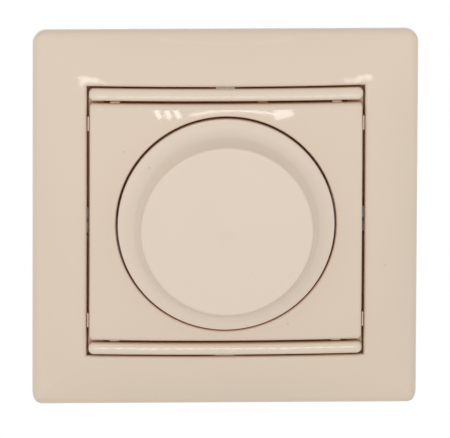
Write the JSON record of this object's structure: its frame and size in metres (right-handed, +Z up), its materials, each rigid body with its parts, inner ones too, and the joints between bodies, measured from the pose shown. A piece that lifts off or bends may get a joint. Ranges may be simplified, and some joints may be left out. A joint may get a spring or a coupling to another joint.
{
  "type": "rotary dimmer switch",
  "caption": "Square wall dimmer in cream plastic: a push and turn knob in a domed plate between slim bars, with the working unit behind it for a wall box.",
  "frame": {"origin": "on the knob's axis in the plane of the wall, at the middle between the two box screws", "axes": "+Z up the wall, +X to the right as seen from the room, +Y into the wall, so the front faces -Y"},
  "size_m": [0.08, 0.0402, 0.08],
  "materials": {
    "faceplate_cream": "satin",
    "holder_cream": "satin",
    "knob_cream": "satin",
    "zinc_steel": "zinc plated",
    "spring_steel": "bright",
    "sink_aluminium": "matt",
    "zinc_casting": "satin",
    "box_grey": "matt",
    "pot_black": "matt",
    "track_carbon": "matt",
    "spindle_white": "matt",
    "board_laminate": "matt",
    "contact_brass": "bright",
    "choke_ferrite": "matt",
    "choke_copper": "lacquered",
    "capacitor_yellow": "gloss",
    "capacitor_green": "gloss",
    "resistor_beige": "gloss",
    "diode_blue": "gloss",
    "fuse_glass": "clear",
    "nickel": "bright",
    "triac_black": "matt",
    "mica": "matt",
    "terminal_grey": "matt"
  },
  "bodies": {
    "base": {"surround_frame": "faceplate_cream", "bar_holder": "holder_cream", "centre_plate": "faceplate_cream", "spindle_bushing": "zinc_casting", "spindle_nut": "zinc_steel", "lock_washer": "spring_steel", "support_plate": "zinc_steel", "heat_sink": "sink_aluminium", "housing_screws": "zinc_steel", "rear_housing": "box_grey", "potentiometer_case": "pot_black", "resistive_track": "track_carbon", "switch_case": "pot_black", "switch_cover": "board_laminate", "return_spring": "spring_steel", "fixed_contacts": "contact_brass", "circuit_board": "board_laminate", "choke_core": "choke_ferrite", "choke_winding": "choke_copper", "suppression_capacitor": "capacitor_yellow", "timing_capacitor": "capacitor_green", "resistors": "resistor_beige", "trigger_diode": "diode_blue", "fuse_glass": "fuse_glass", "fuse_caps": "nickel", "fuse_clips": "contact_brass", "triac": "triac_black", "mica_pad": "mica", "triac_screw": "zinc_steel", "terminal_block": "terminal_grey", "terminal_clamps": "contact_brass", "terminal_screws": "zinc_steel"},
    "push_slide": {"switch_plunger": "spindle_white"},
    "knob_set": {"knob": "knob_cream", "knob_clip": "spring_steel", "spindle": "spindle_white"},
    "pot_rotor": {"wiper_rotor": "spindle_white", "wiper_contact": "contact_brass"},
    "blade": {"switch_blade": "contact_brass"},
    "right_claw": {"claw_right": "zinc_steel"},
    "left_claw": {"claw_left": "zinc_steel"},
    "right_claw_screw": {"claw_screw_right": "zinc_steel"},
    "left_claw_screw": {"claw_screw_left": "zinc_steel"}
  },
  "joints": [
    {"name": "knob_push", "type": "slide", "parent": "base", "child": "push_slide", "axis": [0, 1, 0], "range_m": [0, 0.0015], "stiffness_N_per_m": 2200, "springref_m": -0.0008, "deforming": ["return_spring"]},
    {"name": "knob_turn", "type": "hinge", "parent": "push_slide", "child": "knob_set", "pos_m": [0, 0, 0], "axis": [0, -1, 0], "range_deg": [-135, 135]},
    {"name": "wiper_turn", "type": "hinge", "parent": "base", "child": "pot_rotor", "pos_m": [0, 0, 0], "axis": [0, -1, 0], "range_deg": [-135, 135]},
    {"name": "blade_rock", "type": "hinge", "parent": "base", "child": "blade", "pos_m": [-0.0033, 0.0133, 0.006], "axis": [0, 0, 1], "range_deg": [0, 5.6]},
    {"name": "right_claw_swing", "type": "hinge", "parent": "base", "child": "right_claw", "pos_m": [0.0248, 0, 0], "axis": [0, 0, -1], "range_deg": [0, 12]},
    {"name": "right_screw_turn", "type": "hinge", "parent": "base", "child": "right_claw_screw", "pos_m": [0.0276, 0, 0], "axis": [0, 1, 0], "range_deg": [0, 1020]},
    {"name": "left_claw_swing", "type": "hinge", "parent": "base", "child": "left_claw", "pos_m": [-0.0248, 0, 0], "axis": [0, 0, 1], "range_deg": [0, 12]},
    {"name": "left_screw_turn", "type": "hinge", "parent": "base", "child": "left_claw_screw", "pos_m": [-0.0276, 0, 0], "axis": [0, 1, 0], "range_deg": [0, 1020]}
  ],
  "couplings": [
    {"joint": "wiper_turn", "follows": "knob_turn", "ratio": 1},
    {"joint": "right_claw_swing", "follows": "right_screw_turn", "ratio": 0.011765},
    {"joint": "left_claw_swing", "follows": "left_screw_turn", "ratio": 0.011765}
  ]
}
